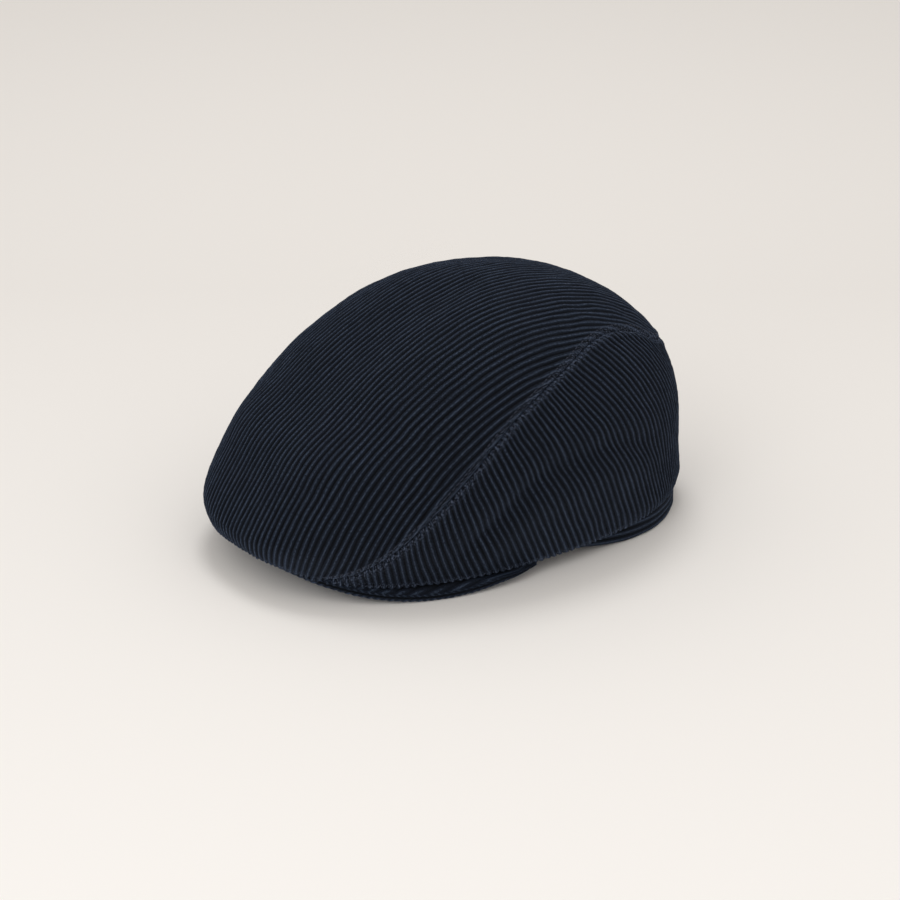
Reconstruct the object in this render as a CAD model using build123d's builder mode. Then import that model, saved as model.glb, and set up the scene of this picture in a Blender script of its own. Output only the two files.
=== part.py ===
"""A three-panel flat cap in wide-wale corduroy, hat size 58.

One long top panel runs from the edge of the peak over the crown to the back, two side panels
wrap round from the peak to a seam at the centre back, and a narrow band shows under their hem.
The peak is a moulded board between two covers. Inside are the interlinings, a lining in three
panels, the tape and elastic of the head opening, the sweatband and the labels.

Frame: millimetres, +Z up, front of the cap towards -Y, the wearer's left towards +X.
The origin is on the floor, under the middle of the cap.
"""
import os
from math import cos, pi, radians, sin

from build123d import *

# ---------------------------------------------------------------- driving dimensions
# crown: the outer surface of the fabric
HALF_WIDTH = 97.0
FRONT_REACH = 148.5          # from the middle of the plan outline to its front
BACK_REACH = 122.5
OUTLINE_CENTRE_Y = 13.0
APEX_Y = 32.0                # the highest point, behind the middle
CREST = 132.0
PLAN_POWER = 2.3             # squareness of the plan outline
CROWN_TOP_POWER = (1.73, 2.41, 2.04)      # front, side, back: how full each meridian is, inwards
CROWN_SIDE_POWER = (1.25, 2.41, 2.65)     # front, side, back: how full each meridian is, upwards
WIDEST_HEIGHT = (26.8, 42.3, 38.7)        # front, side, back: height of the widest line
HEM_TUCK = (2.8, 4.6, 1.0)                # front, side, back: how far the hem pulls in below it
HEM_DROP = (9.4, 35.0, 29.0)              # front, side, back: from the widest line down to the hem

# fabric thicknesses and the gaps between layers
CORDUROY = 1.5
INTERLINING = 0.5
LINING = 0.5
LAYER_GAP = 0.2
SEAM_GAP = 0.2
LINING_INSET = 3.5           # the lining hangs this far inside the crown
LINING_FRONT_REACH = 113.0   # and drops to the head opening instead of following the peak

# head opening
OVAL_HALF_WIDTH = 88.0       # outside of the hem band
OVAL_HALF_LENGTH = 102.0
OVAL_CENTRE_Y = 25.0
OVAL_POWER = 2.4
HEM_BAND = 2.0
HEAD_TAPE = 0.8
SWEATBAND = 1.2
HEM_BAND_HEIGHT = 21.0
SWEATBAND_HEIGHT = 32.0
TAPE_FROM_EDGE = (1.0, 19.0) # the tape and elastic lie this far above the opening's edge
LINING_OVERLAP = 3.0         # the lining starts this far above the hem band
TAPE_GAP = 1.0               # between the ends of the tape and of the elastic
ELASTIC_START_Y = 88.0

# peak
PEAK_HALF_WIDTH = 95.0
PEAK_REACH = 126.2
PEAK_ROOT_Y = -4.8           # the horns of the peak end here
PEAK_POWER = 2.16
PEAK_FRONT_HEIGHT = 16.6     # underside of the peak's edge at the centre
PEAK_SLOPE = 0.26            # rise towards the head, in height per length
PEAK_ARCH = 0.0046           # sag to the sides is this times x squared
PEAK_THICKNESS = 5.0
PEAK_COVER = 1.4
PEAK_RIM = 2.2               # width of the folded edge outside the board
PEAK_BACK_Y = 20.0           # the sheets the peak is cut from start here, behind its root
PEAK_SHEET_HALF_WIDTH = 105.0
PEAK_SHEET_LENGTH = 180.0

# labels
PATCH_SIZE = (58.0, 38.0)
SIZE_LABEL = (20.0, 14.0)
CARE_LABEL = (22.0, 24.0)
LABEL_THICKNESS = 0.4
PATCH_CORNER = 6.0
SIZE_LABEL_HEIGHT = 17.0     # middle of the label at the centre back
CARE_LABEL_PLACE = (34.0, 22.0)           # middle of the label at the side, Y and Z

# how the crown is drawn
SECTION_POINTS = 32
LEVEL_STEP = 7               # degrees between the crown's sections, on a quarter circle
BELOW_FLOOR = -2.0           # the crown's lowest section, cut away by the hem

# cutters
REACH_ACROSS = 120.0         # half length of every cutter that runs from side to side
ABOVE = 200.0                # higher than anything in the cap
BLOCK = 400.0                # larger than the cap in every direction
SIDE_VIEW_END = 145.0        # side view curves run past the cap, in front and behind


# ---------------------------------------------------------------- curves seen from the side (Y, Z)
# seam between the top panel and a side panel, from the peak to the centre back
PANEL_SEAM = [(-SIDE_VIEW_END, 3), (-128, 6.5), (-104, 15), (-70, 42), (-44, 65), (-12, 89.5), (25, 105.5),
              (52, 112), (80, 108), (105, 95), (SIDE_VIEW_END, 78)]
# hem of the crown, from the front to the back
CROWN_HEM = [(-SIDE_VIEW_END, 20.5), (-120, 12.5), (-85, 7.6), (-42, 7.2), (0, 7.4), (70, 9),
             (SIDE_VIEW_END, 9.6)]
# edge of the head opening: the peak's inner edge, the sides, and the back
OPENING_EDGE = [(-90, 37), (-66, 21.5), (-38, 13.5), (0, 9.5), (34, 6.5), (62, 1.2), (100, 1),
                (SIDE_VIEW_END, 1)]
# underside of the hem band, up to where it lies flat on the floor
BAND_EDGE = [(-2, 9.4), (26, 8.6), (46, 3.6), (62, 0)]
# upper edge of the hem band, above its full height, from behind to the horns of the peak
BAND_TOP_RISE = [(62, 0), (34, 5), (-2, 8.5)]


def blend(azimuth, values):
    """A value that changes smoothly from front to side to back round the crown."""
    front, side, back = values
    end = front if sin(azimuth) < 0 else back
    return side + (end - side) * sin(azimuth) ** 2


def crown_section(height, inset, front_reach):
    """Points of the crown's outline at one height, inset from the outer surface."""
    half_width = HALF_WIDTH - inset
    crest = CREST - inset
    points = []
    for step in range(SECTION_POINTS):
        azimuth = 2 * pi * step / SECTION_POINTS
        reach = front_reach if sin(azimuth) < 0 else BACK_REACH
        spread = (abs(cos(azimuth) / half_width) ** PLAN_POWER
                  + abs(sin(azimuth) / (reach - inset)) ** PLAN_POWER)
        radius = spread ** (-1 / PLAN_POWER)
        edge = Vector(radius * cos(azimuth), radius * sin(azimuth) + OUTLINE_CENTRE_Y, height)
        axis_point = Vector(0, APEX_Y, height)
        widest = blend(azimuth, WIDEST_HEIGHT)
        if height >= widest:
            rise = (height - widest) / (crest - widest)
            share = (1 - rise ** blend(azimuth, CROWN_SIDE_POWER)) ** (1 / blend(azimuth, CROWN_TOP_POWER))
        else:
            drop = min((widest - height) / blend(azimuth, HEM_DROP), 1.2)
            share = 1 - blend(azimuth, HEM_TUCK) / (edge - axis_point).length * drop ** 2
        points.append(axis_point + (edge - axis_point) * share)
    return points


def crown_solid(inset, front_reach=FRONT_REACH):
    """The full body of the crown, from just under the floor to its apex, inset on every side."""
    angles = range(4, 89, LEVEL_STEP)
    levels = [BELOW_FLOOR] + [(CREST - inset) * sin(radians(angle)) for angle in angles]
    with BuildPart() as body:
        for height in levels:
            with BuildSketch(Plane.XY.offset(height)):
                with BuildLine(Plane.XY.offset(height)):
                    Spline(crown_section(height, inset, front_reach), periodic=True)
                make_face()
        loft()
    return body.part


def side_view_solid(lower, upper):
    """A body that runs from side to side between two curves of the side view."""
    with BuildPart() as body:
        with BuildSketch(Plane.YZ):
            with BuildLine():
                bottom = Spline(lower)
                top = Spline(upper)
                Line(bottom @ 0, top @ 0)
                Line(bottom @ 1, top @ 1)
            make_face()
        extrude(amount=REACH_ACROSS, both=True)
    return body.part


def lifted(curve, height):
    """The same side view curve, moved up."""
    return [(y, z + height) for y, z in curve]


def superellipse(half_width, half_length, centre_y, power, start=0, end=360, count=40):
    """Points of a superellipse in plan, from one angle to another in degrees."""
    points = []
    for step in range(count + 1):
        angle = radians(start + (end - start) * step / count)
        x = abs(cos(angle)) ** (2 / power) * (1 if cos(angle) >= 0 else -1)
        y = abs(sin(angle)) ** (2 / power) * (1 if sin(angle) >= 0 else -1)
        points.append((half_width * x, centre_y + half_length * y))
    return points


def oval_prism(inset):
    """The head opening as a solid column, inset from the outside of the hem band."""
    outline = superellipse(OVAL_HALF_WIDTH - inset, OVAL_HALF_LENGTH - inset, OVAL_CENTRE_Y, OVAL_POWER)
    with BuildPart() as column:
        with BuildSketch(Plane.XY.offset(-1)):
            with BuildLine(Plane.XY.offset(-1)):
                Spline(outline[:-1], periodic=True)
            make_face()
        extrude(amount=CREST)
    return column.part


# ---------------------------------------------------------------- shared bodies
above_seam = side_view_solid(lifted(PANEL_SEAM, SEAM_GAP / 2), lifted(PANEL_SEAM, ABOVE))
below_seam = side_view_solid(lifted(PANEL_SEAM, -ABOVE), lifted(PANEL_SEAM, -SEAM_GAP / 2))
above_hem = side_view_solid(CROWN_HEM, lifted(CROWN_HEM, ABOVE))
left_half = Pos(SEAM_GAP / 2 + REACH_ACROSS / 2, 0, 0) * Box(REACH_ACROSS, BLOCK, BLOCK)
right_half = Pos(-SEAM_GAP / 2 - REACH_ACROSS / 2, 0, 0) * Box(REACH_ACROSS, BLOCK, BLOCK)

interlining_inset = CORDUROY + LAYER_GAP
crown_outside = crown_solid(0)
crown_inside = crown_solid(CORDUROY)
interlining_outside = crown_solid(interlining_inset)
interlining_inside = crown_solid(interlining_inset + INTERLINING)
lining_outside = crown_solid(LINING_INSET, LINING_FRONT_REACH)
lining_inside = crown_solid(LINING_INSET + LINING, LINING_FRONT_REACH)
lining_edge = side_view_solid(lifted(OPENING_EDGE, HEM_BAND_HEIGHT + LINING_OVERLAP),
                               lifted(OPENING_EDGE, ABOVE))

# ---------------------------------------------------------------- crown panels
with BuildPart() as top_panel:
    add(crown_outside)
    add(crown_inside, mode=Mode.SUBTRACT)
    add(above_hem, mode=Mode.INTERSECT)
    add(above_seam, mode=Mode.INTERSECT)

# the hem of a side panel is turned in to meet the band, from the peak's horn to the centre back
turn_in_region = side_view_solid([(y, z) for y, z in CROWN_HEM if y >= 0],
                                 [(y, z + CORDUROY) for y, z in CROWN_HEM if y >= 0])
with BuildPart() as hem_turn_in:
    add(crown_solid(CORDUROY / 2))
    add(oval_prism(-LAYER_GAP), mode=Mode.SUBTRACT)
    add(turn_in_region, mode=Mode.INTERSECT)


def side_panel_solid(half):
    """One side panel: the crown below the seam, with its hem turned in."""
    with BuildPart() as panel:
        add(crown_outside)
        add(crown_inside, mode=Mode.SUBTRACT)
        add(above_hem, mode=Mode.INTERSECT)
        add(below_seam, mode=Mode.INTERSECT)
        add(hem_turn_in.part)
        add(half, mode=Mode.INTERSECT)
    return panel.part


def layer_panel(outside, inside, edge, *regions):
    """One panel of an inner layer: a thin shell cut by its lower edge and its seams."""
    with BuildPart() as panel:
        add(outside)
        add(inside, mode=Mode.SUBTRACT)
        add(edge, mode=Mode.INTERSECT)
        for region in regions:
            add(region, mode=Mode.INTERSECT)
    return panel.part


pieces = {"top_panel": top_panel.part}
pieces["left_side_panel"] = side_panel_solid(left_half)
pieces["right_side_panel"] = side_panel_solid(right_half)

# ---------------------------------------------------------------- interlinings and lining
above_turn_in = side_view_solid(lifted(CROWN_HEM, CORDUROY + LAYER_GAP), lifted(CROWN_HEM, ABOVE))
for layer, outside, inside, edge in (
        ("interlining", interlining_outside, interlining_inside, above_turn_in),
        ("lining", lining_outside, lining_inside, lining_edge)):
    pieces["top_" + layer] = layer_panel(outside, inside, edge, above_seam)
    pieces["left_side_" + layer] = layer_panel(outside, inside, edge, below_seam, left_half)
    pieces["right_side_" + layer] = layer_panel(outside, inside, edge, below_seam, right_half)

# ---------------------------------------------------------------- head opening
band_top = lifted(BAND_TOP_RISE, HEM_BAND_HEIGHT)
with BuildPart() as hem_band:
    add(oval_prism(0))
    add(oval_prism(HEM_BAND), mode=Mode.SUBTRACT)
    with BuildSketch(Plane.YZ):
        with BuildLine():
            rise = Spline(BAND_EDGE, tangents=((1, 0), (1, 0)))
            Polyline(rise @ 1, (SIDE_VIEW_END, 0), (SIDE_VIEW_END, HEM_BAND_HEIGHT), band_top[0])
            Spline(band_top)
            Line(band_top[-1], rise @ 0)
        make_face()
    extrude(amount=REACH_ACROSS, both=True, mode=Mode.INTERSECT)

tape_outer = HEM_BAND + LAYER_GAP
tape_inner = tape_outer + HEAD_TAPE
band_outer = tape_inner + LAYER_GAP
band_inner = band_outer + SWEATBAND
tape_strip = side_view_solid(lifted(OPENING_EDGE, TAPE_FROM_EDGE[0]), lifted(OPENING_EDGE, TAPE_FROM_EDGE[1]))
front_of_elastic = Pos(0, ELASTIC_START_Y - BLOCK / 2, 0) * Box(BLOCK, BLOCK, BLOCK)
behind_tape = Pos(0, ELASTIC_START_Y + BLOCK / 2 + TAPE_GAP, 0) * Box(BLOCK, BLOCK, BLOCK)

with BuildPart() as head_tape:
    add(oval_prism(tape_outer))
    add(oval_prism(tape_inner), mode=Mode.SUBTRACT)
    add(tape_strip, mode=Mode.INTERSECT)
    add(front_of_elastic, mode=Mode.INTERSECT)

with BuildPart() as sweatband_elastic:
    add(oval_prism(tape_outer))
    add(oval_prism(tape_inner), mode=Mode.SUBTRACT)
    add(tape_strip, mode=Mode.INTERSECT)
    add(behind_tape, mode=Mode.INTERSECT)

with BuildPart() as sweatband:
    add(oval_prism(band_outer))
    add(oval_prism(band_inner), mode=Mode.SUBTRACT)
    add(side_view_solid(OPENING_EDGE, lifted(OPENING_EDGE, SWEATBAND_HEIGHT)), mode=Mode.INTERSECT)

pieces["hem_band"] = hem_band.part
pieces["head_tape"] = head_tape.part
pieces["sweatband_elastic"] = sweatband_elastic.part
pieces["sweatband"] = sweatband.part

# ---------------------------------------------------------------- peak
def peak_sheet(low, high):
    """A curved sheet: a parabola across, running down towards the front."""
    half = PEAK_SHEET_HALF_WIDTH
    sag = PEAK_ARCH * half ** 2
    back_height = PEAK_FRONT_HEIGHT + PEAK_SLOPE * (PEAK_BACK_Y - PEAK_ROOT_Y + PEAK_REACH)
    with BuildPart() as sheet:
        with BuildSketch(Plane.XZ.offset(-PEAK_BACK_Y)):
            with BuildLine():
                for height in (back_height + low, back_height + high):
                    Bezier((-half, height - sag), (0, height + sag), (half, height - sag))
                for side in (-half, half):
                    Line((side, back_height + low - sag), (side, back_height + high - sag))
            make_face()
        extrude(amount=PEAK_SHEET_LENGTH, dir=(0, -1, -PEAK_SLOPE))
    return sheet.part


head_column = oval_prism(HEM_BAND - LAYER_GAP)


def peak_plan(inset):
    """The peak's outline in plan as a tall block, open at the head opening."""
    rim = superellipse(PEAK_HALF_WIDTH - inset, PEAK_REACH - inset, PEAK_ROOT_Y, PEAK_POWER, 180, 360)
    with BuildPart() as block:
        with BuildSketch(Plane.XY.offset(-1)):
            with BuildLine(Plane.XY.offset(-1)):
                Spline(rim)
                Line(rim[-1], rim[0])
            make_face()
        extrude(amount=CREST)
        add(head_column, mode=Mode.SUBTRACT)
    return block.part


# where the crown's edge and its interlining stand beside the peak, the peak keeps clear of them
with BuildPart() as crown_clearance:
    add(crown_solid(-LAYER_GAP))
    add(crown_solid(interlining_inset + INTERLINING + LAYER_GAP), mode=Mode.SUBTRACT)
    add(side_view_solid(lifted(CROWN_HEM, -LAYER_GAP), lifted(CROWN_HEM, ABOVE)), mode=Mode.INTERSECT)

board_low = PEAK_COVER + LAYER_GAP
board_high = PEAK_THICKNESS - PEAK_COVER - LAYER_GAP
with BuildPart() as peak_board:
    add(peak_sheet(board_low, board_high))
    add(peak_plan(PEAK_RIM + LAYER_GAP), mode=Mode.INTERSECT)
    add(crown_clearance.part, mode=Mode.SUBTRACT)

with BuildPart() as peak_top_cover:
    add(peak_sheet(PEAK_THICKNESS - PEAK_COVER, PEAK_THICKNESS))
    add(peak_plan(0), mode=Mode.INTERSECT)
    add(crown_clearance.part, mode=Mode.SUBTRACT)

# the under cover is drawn up round the edge of the board, to the seam with the top cover
with BuildPart() as board_pocket:
    add(peak_sheet(PEAK_COVER, PEAK_THICKNESS))
    add(peak_plan(PEAK_RIM), mode=Mode.INTERSECT)

with BuildPart() as peak_under_cover:
    add(peak_sheet(0, PEAK_THICKNESS - PEAK_COVER - LAYER_GAP))
    add(peak_plan(0), mode=Mode.INTERSECT)
    add(board_pocket.part, mode=Mode.SUBTRACT)
    add(crown_clearance.part, mode=Mode.SUBTRACT)

pieces["peak_board"] = peak_board.part
pieces["peak_top_cover"] = peak_top_cover.part
pieces["peak_under_cover"] = peak_under_cover.part

# ---------------------------------------------------------------- labels
patch_inset = LINING_INSET + LINING + LAYER_GAP
with BuildPart() as maker_patch:
    add(crown_solid(patch_inset, LINING_FRONT_REACH))
    add(crown_solid(patch_inset + LABEL_THICKNESS, LINING_FRONT_REACH), mode=Mode.SUBTRACT)
    with BuildSketch(Plane.XY.offset(CREST / 2)):
        with Locations((0, APEX_Y)):
            RectangleRounded(*PATCH_SIZE, radius=PATCH_CORNER)
    extrude(amount=CREST / 2, mode=Mode.INTERSECT)

label_outer = band_inner + LAYER_GAP
label_inner = label_outer + LABEL_THICKNESS

with BuildPart() as size_label:
    add(oval_prism(label_outer))
    add(oval_prism(label_inner), mode=Mode.SUBTRACT)
    with BuildSketch(Plane.XZ.offset(-OVAL_CENTRE_Y)):
        with Locations((0, SIZE_LABEL_HEIGHT)):
            Rectangle(*SIZE_LABEL)
    extrude(amount=-OVAL_HALF_LENGTH, mode=Mode.INTERSECT)

with BuildPart() as care_label:
    add(oval_prism(label_outer))
    add(oval_prism(label_inner), mode=Mode.SUBTRACT)
    with BuildSketch(Plane.YZ):
        with Locations(CARE_LABEL_PLACE):
            Rectangle(*CARE_LABEL)
    extrude(amount=OVAL_HALF_WIDTH, mode=Mode.INTERSECT)

pieces["maker_patch"] = maker_patch.part
pieces["size_label"] = size_label.part
pieces["care_label"] = care_label.part

# ---------------------------------------------------------------- write one STEP per piece
os.makedirs("parts", exist_ok=True)
for name, piece in pieces.items():
    piece.label = name
    export_step(piece, f"parts/{name}.step")
    box = piece.bounding_box()
    print(f"{name}: {piece.volume:.0f} mm3, x {box.min.X:.1f}..{box.max.X:.1f}, "
          f"y {box.min.Y:.1f}..{box.max.Y:.1f}, z {box.min.Z:.2f}..{box.max.Z:.1f}")
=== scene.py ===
"""Looks of a three-panel flat cap in wide-wale corduroy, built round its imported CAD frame.

Shapes are worked out in millimetres in the row frame (+Z up, front towards -Y, the wearer's
left towards +X) and scaled to metres when a mesh is made.
"""
import math

import bmesh
import bpy
import numpy as np
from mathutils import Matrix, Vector


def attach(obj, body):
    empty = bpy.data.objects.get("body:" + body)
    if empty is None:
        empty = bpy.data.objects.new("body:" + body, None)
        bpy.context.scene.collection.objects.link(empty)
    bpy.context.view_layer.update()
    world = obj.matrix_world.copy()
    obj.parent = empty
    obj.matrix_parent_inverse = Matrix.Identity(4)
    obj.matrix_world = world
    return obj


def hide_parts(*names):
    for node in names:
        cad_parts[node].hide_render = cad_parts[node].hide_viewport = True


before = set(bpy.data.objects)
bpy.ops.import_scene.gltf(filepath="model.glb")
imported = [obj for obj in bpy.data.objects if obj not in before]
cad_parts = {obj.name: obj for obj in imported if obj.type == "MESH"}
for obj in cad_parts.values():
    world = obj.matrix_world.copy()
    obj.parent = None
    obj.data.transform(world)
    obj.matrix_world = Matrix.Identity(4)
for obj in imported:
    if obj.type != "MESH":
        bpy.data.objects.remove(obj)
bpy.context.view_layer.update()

# ---- dimensions, as in the CAD
HALF_WIDTH = 97.0
FRONT_REACH = 148.5
BACK_REACH = 122.5
OUTLINE_CENTRE_Y = 13.0
APEX_Y = 32.0
CREST = 132.0
PLAN_POWER = 2.3
CROWN_TOP_POWER = (1.73, 2.41, 2.04)
CROWN_SIDE_POWER = (1.25, 2.41, 2.65)
WIDEST_HEIGHT = (26.8, 42.3, 38.7)
HEM_TUCK = (2.8, 4.6, 1.0)
HEM_DROP = (9.4, 35.0, 29.0)
LINING_FRONT_REACH = 113.0

OVAL_HALF_WIDTH = 88.0
OVAL_HALF_LENGTH = 102.0
OVAL_CENTRE_Y = 25.0
OVAL_POWER = 2.4

PEAK_HALF_WIDTH = 95.0
PEAK_REACH = 126.2
PEAK_ROOT_Y = -4.8
PEAK_POWER = 2.16
PEAK_FRONT_HEIGHT = 16.6
PEAK_SLOPE = 0.26
PEAK_ARCH = 0.0046

PANEL_SEAM = [(-145, 3), (-128, 6.5), (-104, 15), (-70, 42), (-44, 65), (-12, 89.5), (25, 105.5),
              (52, 112), (80, 108), (105, 95), (145, 78)]
CROWN_HEM = [(-145, 20.5), (-120, 12.5), (-85, 7.6), (-42, 7.2), (0, 7.4), (70, 9), (145, 9.6)]
OPENING_EDGE = [(-90, 37), (-66, 21.5), (-38, 13.5), (0, 9.5), (34, 6.5), (62, 1.2), (100, 1), (145, 1)]

# where wales of a side panel start, as y on the panel seam, and where they end, as y on the hem
# or as the height on the centre back seam
WALE_STARTS = [-112.9, -96, -81.5, -69, -57, -43, -27.5, -12, 4.5, 24, 50, 82, 104.6, 118, 124.5, 126.99]
WALE_ENDS_ON_HEM = [-112.9, -93, -75, -56.5, -39.5, -18, 4.5, 28, 50.5, 78, 97, 116, 130, 134.4]
WALE_ENDS_ON_BACK = [52, 84.6]
BACK_SEAM = (9.7, 84.6)      # heights of the centre back seam's ends

# ---- dimensions of the looks
PITCH = 3.6                  # from one wale of the corduroy to the next
PER_WALE = 8                 # mesh columns in each wale
HALF_WALES = 34              # wales from the middle of the top panel out to beyond its seam
FRONT_RUN = 66.0             # how far those wales are carried on over the front of the crown
CLOTH = 1.5                  # thickness of the corduroy
WALE_DEPTH = 0.95            # from the top of a wale down into the groove
RIB_SHAPE = 0.85             # below 1, a wale is fuller than half a sine wave
HEM_RADIUS = 1.3             # the rolled edge of the cloth at the hem
RAW_RADIUS = 0.25            # and at a seam
HEM_TURN = 2.6               # how far the hem turns in, at least
BACK_FLARE = 3.2             # the hem stands out at the two back corners
BAND_PUSH = 5.0              # and the head opening is drawn out with it
NO_EDGE = 9.0                # the edge attribute, in mm, where no seam is near
STRIP_STEP = 2.0             # mesh columns round the head opening
BAND_HEIGHT = 20.5           # the hem band, from its lower edge to behind the side panels
BAND_THICKNESS = 1.9
STITCH_SETBACK = 3.2         # from the panel seam to the row of stitches on the top panel

INTERLINING_DEPTH = 1.9      # its outer face, inside the crown's outer surface
INTERLINING = 0.5            # its thickness
LINING_SKIN = 4.1            # inner face of the lining, inside the crown's outer surface

PEAK_THICKNESS = 5.0
PEAK_SIDE_DROP = 1.5         # the sides of the peak hang a little lower than its sheet
HORN_TOP = 8.2               # the horns thin out below this height, to pass under the crown's hem
LIP_LEAN = -1.0              # the wales cross the rolled edge of the peak at a slant
LIP_DEPTH = 0.5              # and are drawn flat there

MM = 0.001
AXIS = np.array([0.0, APEX_Y])
MIRROR = np.array([-1.0, 1.0, 1.0])


# ---- curves and surfaces
def arc(line):
    """Length along a polyline at each of its points."""
    return np.concatenate([[0], np.cumsum(np.linalg.norm(np.diff(line, axis=0), axis=1))])


def side_curve(points, count=600):
    """A smooth curve through points of the side view, finely divided."""
    p = np.array(points, float)
    t = arc(p)
    h = np.diff(t)
    n = len(p)
    a, b = np.eye(n), np.zeros((n, 2))
    for i in range(1, n - 1):
        a[i, i - 1:i + 2] = h[i - 1], 2 * (h[i - 1] + h[i]), h[i]
        b[i] = 6 * ((p[i + 1] - p[i]) / h[i] - (p[i] - p[i - 1]) / h[i - 1])
    m = np.linalg.solve(a, b)
    s = np.linspace(0, t[-1], count)
    i = np.clip(np.searchsorted(t, s) - 1, 0, n - 2)
    u, w, k = (s - t[i])[:, None], (t[i + 1] - s)[:, None], h[i][:, None]
    return ((m[i] * w ** 3 + m[i + 1] * u ** 3) / (6 * k) + (p[i] / k - m[i] * k / 6) * w
            + (p[i + 1] / k - m[i + 1] * k / 6) * u)


SEAM, HEM, EDGE = side_curve(PANEL_SEAM), side_curve(CROWN_HEM), side_curve(OPENING_EDGE)


def height_on(curve, y):
    return np.interp(y, curve[:, 0], curve[:, 1])


def smooth(low, high, value):
    t = np.clip((value - low) / (high - low), 0, 1)
    return t * t * (3 - 2 * t)


def hump(value, centre, width):
    """A soft hump of height 1."""
    return np.exp(-((value - centre) / width) ** 2)


def unit(v):
    return v / np.maximum(np.linalg.norm(v, axis=-1, keepdims=True), 1e-12)


def along(line, lengths, at):
    """Points of a polyline at given lengths along it."""
    return np.stack([np.interp(at, lengths, line[:, k]) for k in range(line.shape[1])], -1)


def level_way(out):
    """Directions in plan as level directions in space."""
    return np.concatenate([out, np.zeros((len(out), 1))], -1)


def resampled(line, spacing):
    """A polyline with even spacing."""
    s = arc(line)
    return along(line, s, np.linspace(0, s[-1], max(2, int(round(s[-1] / spacing)) + 1)))


def blend_round(theta, values):
    """A value that changes smoothly from front to side to back round the crown."""
    front, side, back = values
    s = np.sin(theta)
    return side + (np.where(s < 0, front, back) - side) * s * s


class Crown:
    """The crown's surface, inset from the outside of the cloth."""

    def __init__(self, inset=0.0, front_reach=FRONT_REACH):
        self.crest = CREST - inset
        self.theta = np.linspace(-math.pi, math.pi, 2881)
        c, s = np.abs(np.cos(self.theta)), np.abs(np.sin(self.theta))
        reach = np.where(np.sin(self.theta) < 0, front_reach, BACK_REACH) - inset
        radius = ((c / (HALF_WIDTH - inset)) ** PLAN_POWER + (s / reach) ** PLAN_POWER) ** (-1 / PLAN_POWER)
        x = radius * np.cos(self.theta)
        y = radius * np.sin(self.theta) + OUTLINE_CENTRE_Y - APEX_Y
        self.bearing = np.unwrap(np.arctan2(y, x))
        self.reach = np.hypot(x, y)

    def share(self, theta, reach, z):
        """How far out the surface is at a height, as a share of the outline's reach."""
        widest = blend_round(theta, WIDEST_HEIGHT)
        rise = np.clip((z - widest) / (self.crest - widest), 0, 1)
        side_power, top_power = blend_round(theta, CROWN_SIDE_POWER), blend_round(theta, CROWN_TOP_POWER)
        above = (1 - rise ** side_power) ** (1 / top_power)
        drop = np.clip((widest - z) / blend_round(theta, HEM_DROP), 0, 1.2)
        return np.where(z >= widest, above, 1 - blend_round(theta, HEM_TUCK) / reach * drop ** 2)

    def level(self, p):
        """Below 0 inside the crown, 0 on it, above 0 outside."""
        d = p[..., :2] - AXIS
        bearing = np.arctan2(d[..., 1], d[..., 0])
        bearing = np.where(bearing < self.bearing[0], bearing + 2 * math.pi, bearing)
        theta = np.interp(bearing, self.bearing, self.theta)
        reach = np.interp(bearing, self.bearing, self.reach)
        return np.hypot(d[..., 0], d[..., 1]) / reach - self.share(theta, reach, p[..., 2])

    def slope(self, p, step=0.05):
        out = np.zeros_like(p)
        for axis in range(3):
            move = np.zeros(3)
            move[axis] = step
            out[..., axis] = (self.level(p + move) - self.level(p - move)) / (2 * step)
        return out

    def normal(self, p):
        return unit(self.slope(p))

    def snap(self, p, rounds=3):
        """Moves points that are near the surface onto it."""
        for _ in range(rounds):
            g = self.slope(p)
            far = self.level(p)[..., None] / np.maximum((g * g).sum(-1, keepdims=True), 1e-9)
            p = p - g * np.clip(far, -400, 400)
        return p

    def cast(self, origin, direction, far=260.0):
        """Where rays from inside meet the surface."""
        low, high = np.zeros(origin.shape[:-1]), np.full(origin.shape[:-1], far)
        for _ in range(34):
            mid = (low + high) / 2
            outside = self.level(origin + direction * mid[..., None]) > 0
            high, low = np.where(outside, mid, high), np.where(outside, low, mid)
        return origin + direction * high[..., None]


def march(crown, base, steps):
    """Curves on the surface at one wale's distance from each other, starting from base."""
    def across(curve):
        return unit(np.cross(np.gradient(curve, axis=0), crown.normal(curve)))

    curves = [base]
    for _ in range(steps):
        now = curves[-1]
        half = crown.snap(now + PITCH / 2 * across(now))
        curves.append(crown.snap(now + PITCH * across(half)))
    return curves


def sample(grid, i, j):
    """Smooth interpolation between the points of a grid."""
    def weights(t):
        return (((-t + 2) * t - 1) * t / 2, ((3 * t - 5) * t * t + 2) / 2,
                ((-3 * t + 4) * t + 1) * t / 2, (t - 1) * t * t / 2)

    i, j = np.broadcast_arrays(i, j)
    i0 = np.clip(np.floor(i).astype(int), 1, grid.shape[0] - 3)
    j0 = np.clip(np.floor(j).astype(int), 1, grid.shape[1] - 3)
    wi, wj = weights(i - i0), weights(j - j0)
    out = np.zeros(i.shape + (grid.shape[2],))
    for a in range(4):
        for b in range(4):
            out += (wi[a] * wj[b])[..., None] * grid[i0 + a - 1, j0 + b - 1]
    return out


def nearest(points, line):
    """Distance of each point to a polyline."""
    a, ab = line[:-1], np.diff(line, axis=0)
    flat = points.reshape(-1, 3)
    out = np.empty(len(flat))
    for start in range(0, len(flat), 20000):
        p = flat[start:start + 20000, None]
        t = np.clip(((p - a) * ab).sum(-1) / (ab * ab).sum(-1), 0, 1)
        out[start:start + 20000] = np.sqrt((((p - a) - t[..., None] * ab) ** 2).sum(-1).min(1))
    return out.reshape(points.shape[:-1])


OUTSIDE = Crown()


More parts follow.
